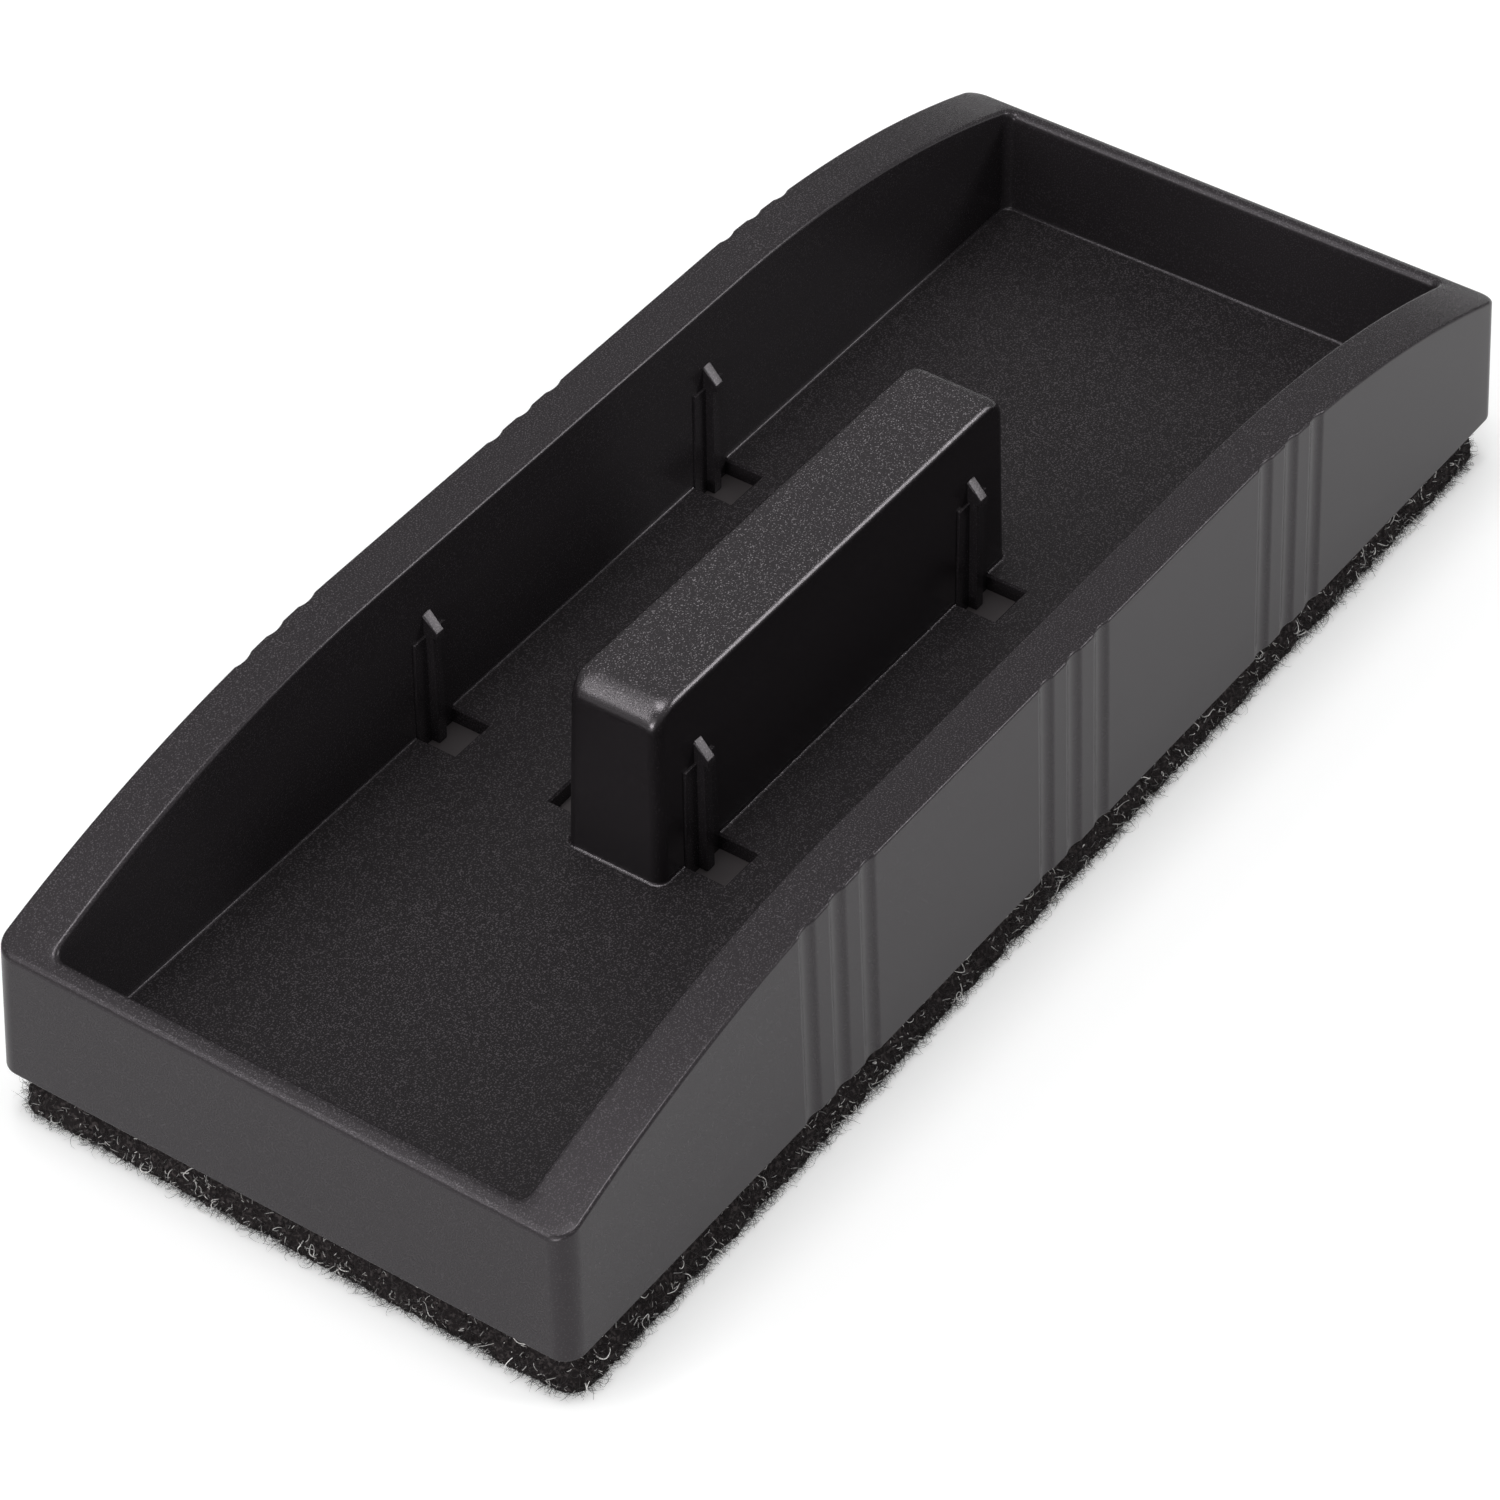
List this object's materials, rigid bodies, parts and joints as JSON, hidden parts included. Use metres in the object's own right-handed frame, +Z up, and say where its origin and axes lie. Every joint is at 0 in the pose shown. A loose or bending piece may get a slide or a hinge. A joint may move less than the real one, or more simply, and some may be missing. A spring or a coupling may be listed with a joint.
{
  "type": "chalkboard eraser",
  "caption": "Board eraser with a felt pad under a moulded tray that clips markers in beside a central finger block.",
  "frame": {"origin": "centre of the bounding box, on the felt's wiping face", "axes": "+X along the tray's length, +Y across it, +Z up out of the open tray"},
  "size_m": [0.15, 0.0606, 0.0275],
  "materials": {
    "tray_plastic": "fine spark-eroded texture",
    "adhesive": "smooth film",
    "felt": "needle-punched felt"
  },
  "bodies": {
    "root": {"tray": "tray_plastic", "adhesive_sheet": "adhesive", "felt_pad": "felt"}
  },
  "joints": []
}
